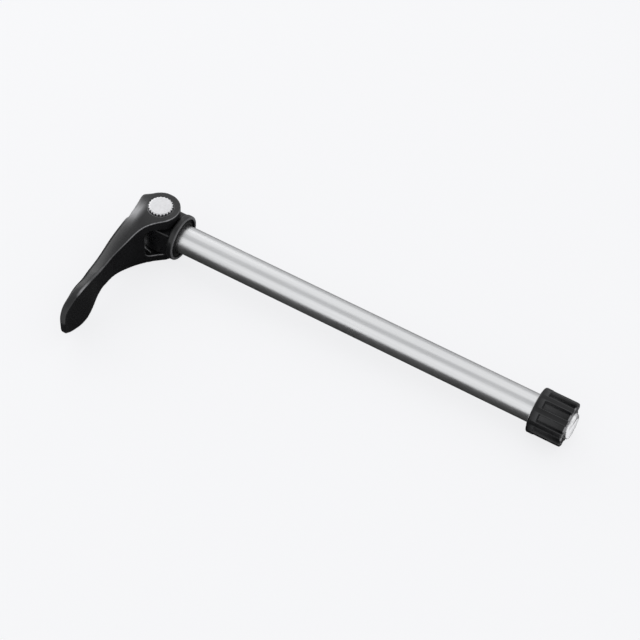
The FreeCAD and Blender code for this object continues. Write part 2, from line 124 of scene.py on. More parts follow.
# camera: angles in degrees, the point that it looks at, its distance and its lens in millimetres
CAMERA_RISE, CAMERA_SWING, CAMERA_ROLL = 51.16, 25.67, 5.44
CAMERA_AIM = Vector((68.4, -6.85, 0.0)) * MM
CAMERA_DISTANCE = 0.685
CAMERA_LENS = 97.14


def length(name, description, default):
    """A size in metres that a user may change."""
    return bpy.props.FloatProperty(
        name=name, description=description, default=default, min=0.0, precision=5,
        subtype="DISTANCE", unit="LENGTH")


def share(name, description, default):
    """A plain number from 0 to 1."""
    return bpy.props.FloatProperty(
        name=name, description=description, default=default, min=0.0, max=1.0, subtype="FACTOR")


def strength(name, description, default):
    """A plain number from 0 up."""
    return bpy.props.FloatProperty(name=name, description=description, default=default, min=0.0)


def colour(name, description, default):
    return bpy.props.FloatVectorProperty(
        name=name, description=description, default=default, size=3, min=0.0, max=1.0, subtype="COLOR")


def count(name, description, default):
    return bpy.props.IntProperty(name=name, description=description, default=default, min=3)


class ShaftSettings(bpy.types.PropertyGroup):
    """Sizes and finish of the shaft"""

    tone: colour("Metal", "Colour of the bare metal", (0.78, 0.785, 0.79))
    roughness: share("Roughness", "How satin the shaft is", 0.3)
    segments: count("Segments", "Facets round the shaft", 144)
    thread_radius: length("Thread radius", "Radius over the thread's crests", 5.5 * MM)
    thread_pitch: length("Thread pitch", "Advance in one turn", 1.5 * MM)
    thread_depth: length("Thread depth", "From crest to root", 0.55 * MM)
    thread_start: length("Thread start", "Where the full bar ends and the thread begins", 162.4 * MM)
    thread_end: length("Thread end", "Where the thread runs out towards the tail", 174.2 * MM)
    tail_round: length("Tail rounding", "Rounding of the tail's end", 1.4 * MM)
    tail_tone: colour("Tail", "Colour of the turned tail", (0.90, 0.90, 0.905))
    eye_width: length("Eye width", "Half the tongue's slot along the shaft", 3.06 * MM)
    eye_side: length("Eye side", "Half the straight part of the slot's sides", 0.94 * MM)
    setback: length("Setback", "How far the full bar reaches into the housing", 2.4 * MM)
    edge: length("Edge", "Chamfer at the ends of the full bar", 0.3 * MM)
    edge_round: length("Edge rounding", "Rounding of the chamfer in the housing", 0.2 * MM)
    thread_fade: length("Thread fade", "Length over which the thread comes in and runs out", 1.2 * MM)
    bar_rings: count("Bar rings", "Rings of points along the full bar", 24)
    thread_rings: count("Thread rings", "Rings of points along the thread", 110)


class LeverSettings(bpy.types.PropertyGroup):
    """Skin and finish of the forged lever and of the turned housing"""

    tone: colour("Black", "Colour of the anodised skin", (0.0065, 0.0065, 0.0072))
    roughness: share("Roughness", "How dull the skin is", 0.3)
    voxel: length("Skin spacing", "Distance between points of the lever's skin", 0.26 * MM)
    housing_voxel: length("Housing spacing", "Distance between points of the housing's skin", 0.2 * MM)
    edge_passes: count("Edge passes", "Rounds of softening on every edge", 4)
    crown_passes: count("Crown passes", "Rounds of softening on the outboard edges", 7)
    cheek_passes: count("Cheek passes", "Rounds of softening on the fork's outboard edges", 14)
    crown_tilt: bpy.props.FloatProperty(
        name="Crown tilt", description="Lean of the lever's outboard edge", default=math.radians(20),
        min=0.0, max=math.radians(45), subtype="ANGLE", unit="ROTATION")
    head_flat: length("Head flat", "Flat beside the pin's axis on the lever's head", 4.2 * MM)
    head_edge: length("Head edge", "Height of the leaning edge on the lever's head", 2.1 * MM)
    swell: length("Swell", "Stock left on the inboard face and underside of the arm", 0.5 * MM)
    heel: length("Heel", "How far the head's rear outboard corner stands out", 0.9 * MM)
    # this pale colour stands both for bare metal and for painted highlight
    bare_and_highlight: colour("Bare metal", "Colour where the black is rubbed through", (0.42, 0.42, 0.43))
    # the housing's pale edges are wear and also painted edge highlight; the pale collar rim is a painted
    # highlight
    housing_wear_and_highlight: share("Housing wear", "How far the housing's edges are rubbed", 0.2)
    rim_painted_highlight: share("Rim wear", "How far the rim of the housing's collar is rubbed", 0.33)


class NutSettings(bpy.types.PropertyGroup):
    """Sizes and wear of the nut"""

    segments: count("Segments", "Facets round the nut", 480)
    flutes: count("Flutes", "Flutes round the nut", 10)
    flute_depth: length("Flute depth", "Depth of each flute", 1.5 * MM)
    flute_floor: share("Flute floor", "Half the flat floor, as a share of the flutes' pitch", 0.25)
    flute_edge: share("Flute edge", "Half the flute's mouth, as a share of the flutes' pitch", 0.31)
    band: length("Band", "Plain band before the flutes", 3.0 * MM)
    ramp: length("Ramp", "Length over which a flute sinks in", 0.5 * MM)
    edge: length("Edge", "Rounding of the nut's ends", 0.75 * MM)
    # the lips, start walls and corners are made pale: wear, and also a painted highlight where they would
    # catch the light
    lip_wear_and_highlight: share("Lip wear", "How far the flutes' lips and start walls are rubbed", 0.2)
    corner_wear_and_highlight: share("Corner wear", "How far the corners at the flutes' open ends are rubbed", 0.7)
    gloss: share("Gloss", "Strength of the nut's reflections", 0.32)
    core: length("Core", "Radius that the flutes leave alone", 7.0 * MM)


class PinSettings(bpy.types.PropertyGroup):
    """Sizes and finish of the cam pin"""

    tone: colour("Steel", "Colour of the plated steel", (0.70, 0.70, 0.71))
    roughness: share("Roughness", "How satin the plating is", 0.34)
    teeth: count("Teeth", "Serrations round the head", 22)
    tooth_depth: length("Tooth depth", "Depth of each serration", 0.42 * MM)
    facets: count("Facets", "Facets on each serration", 16)
    segments: count("Segments", "Facets round the cam and the lower journal", 96)
    cam_radius: length("Cam radius", "Radius of the cam", 2.8026 * MM)
    cam_throw: length("Cam throw", "Distance from the pin's axis to the cam's", 0.9 * MM)
    cam_half: length("Cam height", "Half the cam's height", 3.05 * MM)
    head_height: length("Head height", "From the head's shoulder to its top", 3.4 * MM)
    head_edge: length("Head edge", "Chamfer round the head's top", 0.35 * MM)
    tooth_wall: length("Tooth wall", "Width of the head's edge that the teeth are cut in", 0.4 * MM)


class StageSettings(bpy.types.PropertyGroup):
    """Floor and light"""

    floor_tone: colour("Floor", "Colour of the floor", (0.90, 0.905, 0.925))
    floor_glow: share("Floor glow", "Share of the floor's own white where it is seen", 0.82)
    sky_strength: share("Sky", "Strength of the even light from all round", 0.60)
    front_radiance: share("Front softbox", "Brightness of the softbox before the axle", 0.38)
    back_radiance: share("Back softbox", "Brightness of the softbox behind the axle", 0.35)
    edge_radiance: strength("Edge lights", "Brightness of the two lamps on the inboard edges", 0.45)
    crown_radiance: strength("Crown light", "Brightness of the lamp on the lever's outboard side", 1.1)


def add(tree, kind, inputs=None, **settings):
    """New node in a tree, with its settings and its unlinked inputs."""
    node = tree.nodes.new(kind)
    for key, value in settings.items():
        setattr(node, key, value)
    for key, value in (inputs or {}).items():
        node.inputs[key].default_value = value
    return node


def maths(tree, operation, *values):
    """Math node fed by sockets or numbers."""
    node = add(tree, "ShaderNodeMath", operation=operation)
    for socket, value in zip(node.inputs, values):
        if isinstance(value, (int, float)):
            socket.default_value = value
        else:
            tree.links.new(value, socket)
    return node.outputs[0]


def blank_material(name):
    """Material with only its shader: gives the material, its tree and the shader."""
    material = bpy.data.materials.new(name)
    material.use_nodes = True
    tree = material.node_tree
    return material, tree, tree.nodes["Principled BSDF"]


def grain(tree, scale, detail=2.0):
    """Noise on the object's own coordinates, stretched by scale (per metre)."""
    place = add(tree, "ShaderNodeTexCoord")
    mapping = add(tree, "ShaderNodeMapping", {"Scale": scale})
    noise = add(tree, "ShaderNodeTexNoise", {"Scale": 1.0, "Detail": detail, "Roughness": 0.55})
    tree.links.new(place.outputs["Object"], mapping.inputs["Vector"])
    tree.links.new(mapping.outputs["Vector"], noise.inputs["Vector"])
    return noise.outputs["Fac"]


def spread(tree, value, low, high, start=0.3, end=0.7):
    """Value from start to end mapped to low to high."""
    node = add(tree, "ShaderNodeMapRange",
               {"From Min": start, "From Max": end, "To Min": low, "To Max": high})
    tree.links.new(value, node.inputs["Value"])
    return node.outputs["Result"]


def between(tree, value, first, second):
    """Colour that goes from first to second with value; each is a colour or a socket."""
    node = add(tree, "ShaderNodeMix", data_type="RGBA")
    tree.links.new(value, node.inputs["Factor"])
    sockets = [s for s in node.inputs if s.type == "RGBA"]
    for socket, tone in zip(sockets, (first, second)):
        if isinstance(tone, bpy.types.NodeSocket):
            tree.links.new(tone, socket)
        else:
            socket.default_value = (*tone, 1.0)
    return [s for s in node.outputs if s.type == "RGBA"][0]


def along(tree, axis):
    """Place along one of the object's own axes, in metres."""
    place = add(tree, "ShaderNodeTexCoord")
    parts = add(tree, "ShaderNodeSeparateXYZ")
    tree.links.new(place.outputs["Object"], parts.inputs[0])
    return parts.outputs[axis]


def dent(tree, shader, height, distance, strength=1.0):
    """Bump from a height."""
    node = add(tree, "ShaderNodeBump", {"Distance": distance, "Strength": strength})
    tree.links.new(height, node.inputs["Height"])
    tree.links.new(node.outputs["Normal"], shader.inputs["Normal"])


def scaled(tone, factor):
    return tuple(min(1.0, part * factor) for part in tone)


def varied(tree, noise, tone, low, high):
    """Colour that a noise takes from low to high times a tone."""
    return between(tree, spread(tree, noise, 0.0, 1.0), scaled(tone, low), scaled(tone, high))


def roughen(tree, shader, noise, middle, below, above):
    """Roughness that a noise takes a little below and above its middle value."""
    tree.links.new(spread(tree, noise, middle - below, middle + above), shader.inputs["Roughness"])


def satin_aluminium(settings):
    """Drawn and polished bar: faint streaks along its length, and a tail that is turned bright."""
    material, tree, shader = blank_material("satin aluminium")
    shader.inputs["Metallic"].default_value = 1.0
    streaks = grain(tree, (14.0, 1500.0, 1500.0), detail=3.0)
    clouds = grain(tree, (60.0,) * 3)
    tone = varied(tree, streaks, settings.tone, 0.94, 1.04)
    bright = settings.thread_end + 0.5 * MM
    tail = spread(tree, along(tree, "X"), 0.0, 1.0, start=settings.thread_end, end=bright)
    tree.links.new(between(tree, tail, tone, settings.tail_tone), shader.inputs["Base Color"])
    roughen(tree, shader, clouds, settings.roughness, below=0.03, above=0.04)
    dent(tree, shader, streaks, distance=0.004 * MM, strength=0.6)
    return material


def black_skin(name, settings, spots, depth, gloss=0.5):
    """Black anodised skin: fine grain, faint clouding and pale metal on rubbed edges, which also serves
    as painted highlight.
    """
    material, tree, shader = blank_material(name)
    fine = grain(tree, (spots,) * 3, detail=3.0)
    clouds = grain(tree, (170.0,) * 3, detail=3.0)
    skin = varied(tree, clouds, settings.tone, 0.85, 1.25)
    wear_and_highlight = add(tree, "ShaderNodeAttribute", attribute_name="wear_and_highlight")
    patchy = maths(tree, "MULTIPLY", wear_and_highlight.outputs["Fac"], spread(tree, clouds, 0.7, 1.0))
    tree.links.new(between(tree, patchy, skin, settings.bare_and_highlight), shader.inputs["Base Color"])
    shader.inputs["Specular IOR Level"].default_value = gloss
    roughen(tree, shader, fine, settings.roughness, below=0.05, above=0.07)
    dent(tree, shader, fine, depth)
    return material


def plated_steel(settings):
    """Satin plated steel with a fine cast of handling marks."""
    material, tree, shader = blank_material("plated steel")
    shader.inputs["Metallic"].default_value = 1.0
    marks = grain(tree, (900.0,) * 3, detail=4.0)
    tree.links.new(varied(tree, marks, settings.tone, 0.93, 1.05), shader.inputs["Base Color"])
    roughen(tree, shader, marks, settings.roughness, below=0.06, above=0.08)
    dent(tree, shader, marks, distance=0.004 * MM, strength=0.5)
    return material


def plain_stuff(name, tone, roughness, spots):
    """Hidden polymer and rubber pieces: a speckled tone with a little bump."""
    material, tree, shader = blank_material(name)
    speckle = grain(tree, (spots,) * 3, detail=3.0)
    tree.links.new(varied(tree, speckle, tone, 0.85, 1.1), shader.inputs["Base Color"])
    roughen(tree, shader, speckle, roughness, below=0.06, above=0.06)
    dent(tree, shader, speckle, distance=0.02 * MM, strength=0.6)
    return material


def dress(node, material):
    """Give a CAD node its material."""
    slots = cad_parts[node].data.materials
    slots.clear()
    slots.append(material)


def link_mesh(name, mesh):
    piece = bpy.data.objects.new(name, mesh)
    bpy.context.scene.collection.objects.link(piece)
    return piece


def shade(mesh, sharp_angle=math.radians(40)):
    """Smooth shading, with edges sharper than an angle left crisp."""
    mesh.polygons.foreach_set("use_smooth", [True] * len(mesh.polygons))
    mesh.set_sharp_from_angle(angle=sharp_angle)


def bridged(rings, closed=False):
    """bmesh skinned over rings of as many points each; a ring of one point is a pole."""
    bm = bmesh.new()
    size = max(len(ring) for ring in rings)
    loops = []
    for ring in rings:
        points = [bm.verts.new(place) for place in ring]
        loops.append(points if len(points) == size else points * size)
    pairs = list(zip(loops, loops[1:]))
    if closed:
        pairs.append((loops[-1], loops[0]))
    for first, second in pairs:
        for step in range(size):
            after = (step + 1) % size
            corners = [first[step], first[after], second[after], second[step]]
            bm.faces.new(list(dict.fromkeys(corners)))
    bmesh.ops.recalc_face_normals(bm, faces=bm.faces)
    return bm


def turned(profile, segments, closed=False):
    """bmesh turned about X from (x, radius) points; a radius of 0 is a pole."""
    turns = [2 * math.pi * step / segments for step in range(segments)]
    rings = []
    for x, radius in profile:
        ring = [(x, radius * math.cos(a), radius * math.sin(a)) for a in turns]
        rings.append(ring if radius else [(x, 0.0, 0.0)])
    return bridged(rings, closed)


def mesh_from(bm, name):
    mesh = bpy.data.meshes.new(name)
    bm.to_mesh(mesh)
    bm.free()
    return mesh


def rounded(corner, before, after, radius, steps=5):
    """Points of a fillet at a profile's corner."""
    corner = Vector(corner)
    to_before = (Vector(before) - corner).normalized()
    to_after = (Vector(after) - corner).normalized()
    half = to_before.angle(to_after) / 2
    reach = radius / math.tan(half)
    centre = corner + (to_before + to_after).normalized() * radius / math.sin(half)
    start = corner + to_before * reach - centre
    end = corner + to_after * reach - centre
    turn = start.angle_signed(end)
    points = []
    for step in range(steps + 1):
        arm = start.copy()
        arm.rotate(Matrix.Rotation(-turn * step / steps, 2))
        points.append(tuple(centre + arm))
    return points


def evenly(start, end, steps):
    """Profile points from start towards end, without end."""
    return [tuple(np.array(start) + (np.array(end) - start) * step / steps) for step in range(steps)]


def group_tree(name, sizes):
    """Geometry tree with a mesh in and out, and with named sizes and a material to set."""
    tree = bpy.data.node_groups.new(name, "GeometryNodeTree")
    tree.interface.new_socket("Geometry", in_out="INPUT", socket_type="NodeSocketGeometry")
    for label in sizes:
        tree.interface.new_socket(label, in_out="INPUT", socket_type="NodeSocketFloat")
    tree.interface.new_socket("Material", in_out="INPUT", socket_type="NodeSocketMaterial")
    tree.interface.new_socket("Geometry", in_out="OUTPUT", socket_type="NodeSocketGeometry")
    return tree, add(tree, "NodeGroupInput"), add(tree, "NodeGroupOutput")


def product(tree, first, *others):
    """Product of sockets or numbers."""
    for other in others:
        first = maths(tree, "MULTIPLY", first, other)
    return first


def ease(tree, value, start, end, low, high):
    """Smooth step from low to high as value goes from start to end."""
    node = add(tree, "ShaderNodeMapRange", {"To Min": low, "To Max": high},
               interpolation_type="SMOOTHSTEP")
    tree.links.new(value, node.inputs["Value"])
    tree.links.new(start, node.inputs["From Min"])
    tree.links.new(end, node.inputs["From Max"])
    return node.outputs["Result"]


def polar(tree):
    """Position along X, angle about X and radius of each point."""
    place = add(tree, "GeometryNodeInputPosition")
    parts = add(tree, "ShaderNodeSeparateXYZ")
    tree.links.new(place.outputs[0], parts.inputs[0])
    x, y, z = parts.outputs
    angle = maths(tree, "ARCTAN2", y, z)
    square = maths(tree, "ADD", product(tree, y, y), product(tree, z, z))
    return x, y, z, angle, maths(tree, "SQRT", square)


def sink(tree, source, sink_depth, y, z, radius, material, output):
    """Move points towards the axis by a depth, then finish the tree."""
    safe_radius = maths(tree, "MAXIMUM", radius, 1e-6)
    ratio = maths(tree, "DIVIDE", sink_depth, safe_radius)
    offset = add(tree, "ShaderNodeCombineXYZ")
    tree.links.new(product(tree, y, ratio, -1.0), offset.inputs["Y"])
    tree.links.new(product(tree, z, ratio, -1.0), offset.inputs["Z"])
    move = add(tree, "GeometryNodeSetPosition")
    real = add(tree, "GeometryNodeRealizeInstances")
    paint = add(tree, "GeometryNodeSetMaterial")
    tree.links.new(source, move.inputs["Geometry"])
    tree.links.new(offset.outputs[0], move.inputs["Offset"])
    tree.links.new(move.outputs[0], real.inputs[0])
    tree.links.new(real.outputs[0], paint.inputs["Geometry"])
    tree.links.new(material, paint.inputs["Material"])
    tree.links.new(paint.outputs[0], output.inputs[0])


def flute_tree():
    """Flutes or teeth round a turned piece that lies along X."""
    tree, source, output = group_tree("Flutes", (
        "Count", "Phase", "Floor", "Edge", "Depth", "Inner", "Outer", "Start", "Full"))
    sizes = source.outputs
    x, y, z, angle, radius = polar(tree)
    turns = maths(tree, "DIVIDE", product(tree, angle, sizes["Count"]), 2 * math.pi)
    turns = maths(tree, "FRACT", maths(tree, "ADD", turns, sizes["Phase"]))
    across = maths(tree, "ABSOLUTE", maths(tree, "SUBTRACT", turns, 0.5))
    wall = maths(tree, "MAXIMUM", maths(tree, "SUBTRACT", radius, sizes["Inner"]), 0.0)
    room = maths(tree, "SUBTRACT", sizes["Outer"], sizes["Inner"])
    depth = product(
        tree,
        ease(tree, across, sizes["Floor"], sizes["Edge"], 1.0, 0.0),
        ease(tree, x, sizes["Start"], sizes["Full"], 0.0, 1.0),
        sizes["Depth"],
        maths(tree, "DIVIDE", wall, room))
    sink(tree, source.outputs["Geometry"], depth, y, z, radius, sizes["Material"], output)
    return tree


def thread_tree(flank=2.4, skin=0.95):
    """Right-hand thread cut into a bar along X, flat at its root and fading out towards the tail."""
    tree, source, output = group_tree("Thread", (
        "Pitch", "Depth", "Crest", "Start", "Full", "Fade", "End"))
    sizes = source.outputs
    x, y, z, angle, radius = polar(tree)
    turns = maths(tree, "ADD", maths(tree, "DIVIDE", x, sizes["Pitch"]),
                  maths(tree, "DIVIDE", angle, 2 * math.pi))
    wave = maths(tree, "ABSOLUTE", maths(tree, "SUBTRACT", maths(tree, "FRACT", turns), 0.5))
    depth = product(
        tree,
        maths(tree, "MINIMUM", product(tree, wave, flank), 1.0),
        ease(tree, x, sizes["Start"], sizes["Full"], 0.0, 1.0),
        ease(tree, x, sizes["Fade"], sizes["End"], 1.0, 0.0),
        maths(tree, "GREATER_THAN", radius, product(tree, sizes["Crest"], skin)),
        sizes["Depth"])
    sink(tree, source.outputs["Geometry"], depth, y, z, radius, sizes["Material"], output)
    return tree


def grown(piece, tree, values):
    """Run a geometry tree on a piece and keep the result as its plain mesh."""
    modifier = piece.modifiers.new(tree.name, "NODES")
    modifier.node_group = tree
    for item in tree.interface.items_tree:
        if item.in_out == "INPUT" and item.name in values:
            modifier[item.identifier] = values[item.name]
    keep_evaluated(piece)


def keep_evaluated(piece):
    """Replace a piece's mesh by what its modifiers make of it, and drop them."""
    bpy.context.view_layer.update()
    depsgraph = bpy.context.evaluated_depsgraph_get()
    mesh = bpy.data.meshes.new_from_object(piece.evaluated_get(depsgraph), depsgraph=depsgraph)
    mesh.name = piece.name
    old = piece.data
    piece.modifiers.clear()
    piece.data = mesh
    bpy.data.meshes.remove(old)


def skin_copy(node, name, voxel):
    """Evenly spaced skin over a copy of a CAD node."""
    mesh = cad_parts[node].data.copy()
    bm = bmesh.new()
    bm.from_mesh(mesh)
    bmesh.ops.remove_doubles(bm, verts=bm.verts, dist=0.001 * MM)
    bm.to_mesh(mesh)
    bm.free()
    piece = link_mesh(name, mesh)
    modifier = piece.modifiers.new("even skin", "REMESH")
    modifier.mode = "VOXEL"
    modifier.voxel_size = voxel
    modifier.adaptivity = 0.0
    keep_evaluated(piece)
    return piece


def read_points(mesh):
    points = np.empty(len(mesh.vertices) * 3)
    mesh.vertices.foreach_get("co", points)
    edges = np.empty(len(mesh.edges) * 2, dtype=np.int32)
    mesh.edges.foreach_get("vertices", edges)
    return points.reshape(-1, 3), edges.reshape(-1, 2)


def neighbour_mean(values, edges):
    """Mean of each point's neighbours, for one value or several a point."""
    size = len(values)
    degree = np.bincount(edges.ravel(), minlength=size)
    columns = values.reshape(size, -1)
    mean = np.empty_like(columns)
    for column in range(columns.shape[1]):
        total = np.bincount(edges[:, 0], columns[edges[:, 1], column], size)
        total += np.bincount(edges[:, 1], columns[edges[:, 0], column], size)
        mean[:, column] = total / degree
    return mean.reshape(values.shape)


def relaxed(values, edges, passes, weight=HALF_WAY):
    """Points, or a value at each, drawn towards their neighbours, which rounds the edges."""
    for _ in range(passes):
        values = values + weight * (neighbour_mean(values, edges) - values)
    return values


def ramp(values, start, end):
    """0 up to start, 1 from end on and a straight rise between; start may be past end."""
    return np.clip((values - start) / (end - start), 0.0, 1.0)


def read_normals(mesh):
    normals = np.empty(len(mesh.vertices) * 3)
    mesh.vertex_normals.foreach_get("vector", normals)
    return normals.reshape(-1, 3)


def outboard_weight(mesh, points, edges):
    """How far each point of the arm is softened, by how much its surroundings face outboard."""
    facing = -read_normals(mesh)[:, 0]
    for _ in range(FACING_PASSES):
        facing = neighbour_mean(facing, edges)
    return HALF_WAY * (ramp(-points[:, 1], *ARM_SOFT) * ramp(facing, *FACING_OUT))[:, None]


# edge mask that carries both real edge wear and a painted edge highlight
def edge_wear_and_highlight(mesh, points, edges, spacing):
    """How sharp each point's surroundings stand out, from 0 on a flat to 1 on an edge."""
    out = np.einsum("ij,ij->i", points - neighbour_mean(points, edges), read_normals(mesh)) / spacing
    return ramp(relaxed(out, edges, WEAR_AND_HIGHLIGHT_PASSES), *EDGE_BULGE)


def keep_wear_and_highlight(mesh, wear_and_highlight):
    """Store the rubbed and painted-highlight marks on the mesh, where its material reads them."""
    mesh.attributes.new("wear_and_highlight", "FLOAT", "POINT").data.foreach_set("value", wear_and_highlight.astype(np.float32))


def nut_wear_and_highlight(points, size, start, end):
    """Rubbed places on the nut, which also stand as painted highlight: the flutes' lips and start walls,
    and the corners at their open ends.
    """
    lip_middle, lip_half = size.flute_edge + 0.015, 0.022
    corner_depth, floor_margin = 0.6 * size.edge, 0.4 * MM
    x, away = points[:, 0], np.hypot(points[:, 1], points[:, 2])
    turns = np.arctan2(points[:, 1], points[:, 2]) * size.flutes / (2 * math.pi)
    across = np.abs(turns % 1 - 0.5)
    lip = ramp(np.abs(across - lip_middle), lip_half, 0.0)
    wall = (x < start + size.ramp) & (across < size.flute_edge)
    corner = (x > end - corner_depth) & (across < size.flute_floor)
    wear_and_highlight = np.maximum(size.lip_wear_and_highlight * np.maximum(lip, 0.5 * wall), size.corner_wear_and_highlight * corner)
    outside = (x > start) & (away > NUT_HIGH.z - size.flute_depth - floor_margin)
    return wear_and_highlight * outside


def rowwise(reach, values, pick, at, step=0.5 * MM, evened=9):
    """Lowest or highest value in each row across the lever, for each point's reach.

    Rows are a step apart, and each is evened out with its neighbours.
    """
    rows = np.arange(at.min(), at.max() + step, step)
    line = np.full(len(rows), np.inf if pick is np.minimum else -np.inf)
    pick.at(line, np.clip(np.round((reach - rows[0]) / step).astype(int), 0, len(rows) - 1), values)
    known = np.isfinite(line)
    line = np.interp(rows, rows[known], line[known])
    line = np.convolve(np.pad(line, evened // 2, mode="edge"), np.ones(evened) / evened, mode="valid")
    return np.interp(at, rows, line)


def crowned(points, size):
    """Lean the lever's top and bottom faces over towards the outboard side, from the inboard ridge on."""
    face_depth, least_width = 0.3 * MM, 0.2 * MM
    arm_edge, most_drop = 0.45, 0.62
    reach, across, height = -points[:, 1], points[:, 0] - PIN_X, points[:, 2]
    on_arm = ramp(reach, *ARM_LEAN)
    moved = points.copy()
    for side in (1, -1):
        top = rowwise(reach, side * height, np.maximum, reach)
        face = side * height > top - face_depth
        corner = rowwise(reach[face], across[face], np.minimum, reach)
        ridge = rowwise(reach[face], across[face], np.maximum, reach)
        start = (1 - on_arm) * np.minimum(-size.head_flat, ridge) + on_arm * ridge
        width = np.maximum(start - corner, least_width)
        depth = (1 - on_arm) * size.head_edge + on_arm * arm_edge * top
        drop = np.minimum(math.tan(size.crown_tilt) * width / 2, most_drop * depth)
        drop *= ramp(reach, *PADDLE_LEAN) * (ramp(reach, *HEAD_LEAN) if side > 0 else on_arm)
        lean = ramp(across, start, start - width) ** 2
        outer = ramp(side * height, top - depth, top)
        moved[:, 2] -= side * drop * lean * outer
    return moved


def eased(mesh, points, size):
    """Leave a little stock on the arm's inboard face and underside, which the softening takes off."""
    normals, reach = read_normals(mesh), -points[:, 1]
    moved = points.copy()
    moved[:, 0] += size.swell * np.clip(normals[:, 0], 0.0, 1.0) * ramp(reach, *INBOARD_SWELL)
    moved[:, 2] -= size.swell * np.clip(-normals[:, 2], 0.0, 1.0) * ramp(reach, *UNDER_SWELL)
    return moved


def heeled(points, size):
    """Draw out the rear outboard corner of the lever's head."""
    across, height = points[:, 0] - PIN_X, points[:, 2]
    behind = points[:, 1] - HEEL_BEHIND
    near = np.exp(-(behind / np.where(behind > 0, HEEL_REAR, HEEL_FRONT)) ** 2)
    near *= ramp(-across, *HEEL_SIDE) * ramp(height, *HEEL_RISE)
    moved = points.copy()
    moved[:, 0] -= size.heel * near
    return moved


def cheek_weight(points):
    """How far each point is softened on the outboard edges of the fork's cheeks."""
    across, reach = points[:, 0] - PIN_X, -points[:, 1]
    stretch = ramp(reach, *CHEEK_END) * ramp(reach, *CHEEK_START)
    return HALF_WAY * (ramp(-across, *CHEEK_SIDE) * stretch)[:, None]


def heel_painted_highlight(points):
    """Painted highlight on the outboard shoulder beside the lever's head, laid on as pale bare metal."""
    across, reach = points[:, 0] - PIN_X, -points[:, 1]
    return ramp(-across, *HIGHLIGHT_SIDE) ** 2 * np.exp(-((reach - HIGHLIGHT_REACH) / HIGHLIGHT_SPREAD) ** 2)


def write_points(mesh, points):
    mesh.vertices.foreach_set("co", points.ravel())
    mesh.update()


def settle(piece, body, slot, material, *nodes):
    """Finish a piece: material, the body it rides on and the nodes it stands for, which are hidden; the
    slot is not used.
    """
    piece.data.materials.clear()
    piece.data.materials.append(material)
    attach(piece, body)
    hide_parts(*nodes)


def stand(mesh, x):
    """Turn a mesh that lies along the shaft's axis upright, onto an axis along Z at x."""
    mesh.transform(Matrix.Translation((x, 0.0, 0.0)) @ Matrix.Rotation(-math.pi / 2, 4, "Y"))
    return mesh


def add_mesh(mesh, other):
    """Put a second mesh into the first."""
    bm = bmesh.new()
    bm.from_mesh(mesh)
    bm.from_mesh(other)
    bm.to_mesh(mesh)
    bm.free()
    bpy.data.meshes.remove(other)


def tongue_mesh(size, eye_x, root_x):
    """Flat tongue with a round end, with the slot that the cam pulls on."""
    half_width = eye_x - SHAFT_LOW.x
    half_height = math.sqrt(SHAFT_HIGH.y ** 2 - half_width ** 2)
    outer = []
    inner = []
    for step in range(size.segments):
        angle = 2 * math.pi * (step + 0.5) / size.segments
        c, s = math.cos(angle), math.sin(angle)
        edge = half_width if c <= 0 else min(half_width / abs(s), (root_x - eye_x) / c)
        side = size.eye_width / abs(c)
        if side * abs(s) > size.eye_side:
            side = size.eye_side * abs(s) + math.sqrt(size.eye_width ** 2 - (size.eye_side * c) ** 2)
        outer.append((eye_x + edge * c, edge * s))
        inner.append((eye_x + side * c, side * s))
    rings = []
    for loop, side in ((outer, 1), (inner, 1), (inner, -1), (outer, -1)):
        rings.append([(x, y, side * half_height) for x, y in loop])
    return mesh_from(bridged(rings, True), "shaft_tongue")


def shaft_profile(size):
    """Outline of the bar from the housing to the tail: (x, radius) points."""
    radius, crest, edge = SHAFT_HIGH.y, size.thread_radius, size.edge
    root, start, tail = -size.setback, size.thread_start, SHAFT_HIGH.x
    first_ring, thread_ring, tail_steps = root + 1 * MM, start + 0.1 * MM, 12
    profile = [(root, 0), (root, radius - edge)]
    profile += rounded((root + edge, radius), (root, radius - edge), (start, radius), size.edge_round)
    profile += evenly((first_ring, radius), (start - edge, radius), size.bar_rings)
    profile += [(start - edge, radius), (start, crest)]
    profile += evenly((thread_ring, crest), (tail - size.tail_round, crest), size.thread_rings)
    profile += rounded((tail, crest), (start, crest), (tail, 0), size.tail_round, tail_steps)
    return profile + [(tail, 0)]


def pin_profile(size):
    """Outline of the pin from its cam to its head's top: (height, radius) points."""
    top, head, edge = PIN_HIGH.z, PIN_HIGH.x - PIN_X, size.head_edge
    shoulder, cheek = top - size.head_height, 7.5 * MM
    seat, journal = head - 0.97 * MM, size.cam_radius + size.cam_throw + 0.1 * MM
    outer_round, inner_round, steps = 0.25 * MM, 0.3 * MM, 3
    first_ring, face_ring, face_rings = seat + 0.2 * MM, head - 0.9 * MM, 6
    profile = [(size.cam_half, 0), (size.cam_half, journal), (cheek, journal)]
    profile += [(cheek, seat), (shoulder, seat)]
    profile += evenly((shoulder, first_ring), (shoulder, head), steps)
    profile += evenly((shoulder, head), (top - edge, head), steps)
    profile += rounded((top - edge, head), (shoulder, head), (top, head - edge), outer_round, steps)
    profile += rounded((top, head - edge), (shoulder, head), (top, 0), inner_round, steps)
    return profile + evenly((top, face_ring), (top, 0), face_rings) + [(top, 0)]


def foot_profile(size):
    """Outline of the pin from its lower end, with the clip's groove, to its cam."""
    end, edge = PIN_LOW.z, 0.1 * MM
    journal = size.cam_radius - size.cam_throw - 0.05 * MM
    groove, low, high = journal - 0.4 * MM, end + 0.2 * MM, end + 0.9 * MM
    return [
        (end, 0), (end, journal - edge), (end + edge, journal), (low, journal), (low, groove),
        (high, groove), (high, journal), (-size.cam_half, journal), (-size.cam_half, 0)]


